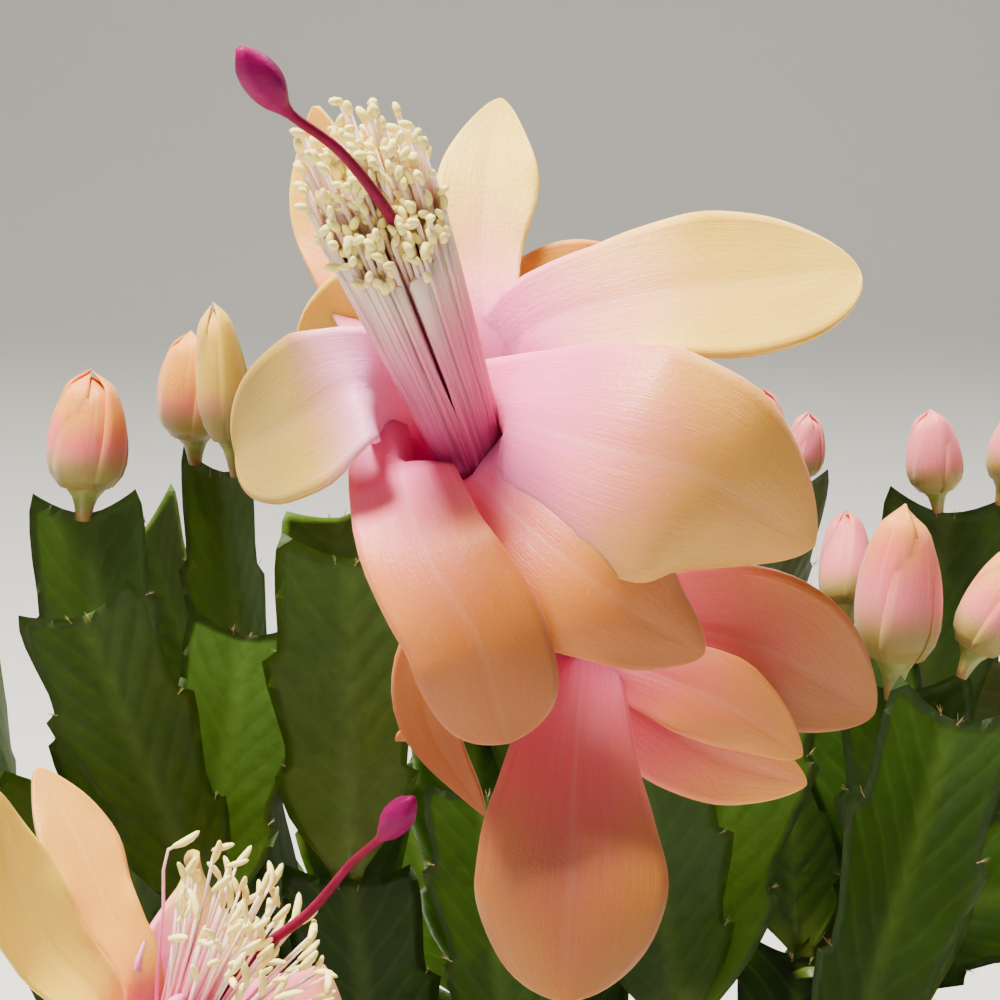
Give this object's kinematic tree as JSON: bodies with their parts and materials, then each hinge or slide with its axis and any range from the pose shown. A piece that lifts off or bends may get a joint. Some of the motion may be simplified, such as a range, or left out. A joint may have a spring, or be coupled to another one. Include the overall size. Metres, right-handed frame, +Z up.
{
  "type": "potted christmas cactus",
  "caption": "Potted christmas cactus: flat toothed stem segments arching from a clay pot, with pale orange blooms, long stamens, magenta styles and pink buds.",
  "frame": {"origin": "middle of the pot's flat underside", "axes": "+Z up through the pot, -Y towards the side that the largest bloom faces"},
  "size_m": [0.303, 0.2709, 0.2629],
  "materials": {
    "clay": "unglazed fired clay, matte",
    "soil": "crumbly dark potting soil",
    "leaf": "smooth waxy green stem skin, satin",
    "petal": "thin silky petal, cream to orange with a pink throat",
    "filament": "fine pale filaments with cream pollen",
    "style": "deep magenta, slightly moist",
    "bud": "closed silky petals, peach pink"
  },
  "bodies": {
    "root": {"pot": "clay", "soil": "soil", "stem_back": "leaf", "stem_back_inner": "leaf", "stem_back_left": "leaf", "stem_back_middle": "leaf", "stem_back_right": "leaf", "stem_front": "leaf", "stem_front_left": "leaf", "stem_inner_left": "leaf", "stem_inner_right": "leaf", "stem_left_inner": "leaf", "stem_left_low": "leaf", "stem_left_outer": "leaf", "stem_left_side": "leaf", "stem_left_tall": "leaf", "stem_middle": "leaf", "stem_middle_left": "leaf", "stem_right_front": "leaf", "stem_right_inner": "leaf", "stem_right_low": "leaf", "stem_right_middle": "leaf", "stem_right_side": "leaf", "stem_right_tall": "leaf", "petals_back": "petal", "petals_front": "petal", "petals_front_left": "petal", "petals_right": "petal", "stamens_back": "filament", "stamens_front": "filament", "stamens_front_left": "filament", "stamens_right": "filament", "style_back": "style", "style_front": "style", "style_front_left": "style", "style_right": "style", "bud_01": "bud", "bud_02": "bud", "bud_03": "bud", "bud_04": "bud", "bud_05": "bud", "bud_06": "bud", "bud_07": "bud", "bud_08": "bud", "bud_09": "bud", "bud_10": "bud", "bud_11": "bud", "bud_12": "bud", "bud_13": "bud", "bud_14": "bud", "bud_15": "bud", "bud_16": "bud", "bud_17": "bud", "bud_18": "bud", "bud_19": "bud"}
  },
  "joints": []
}
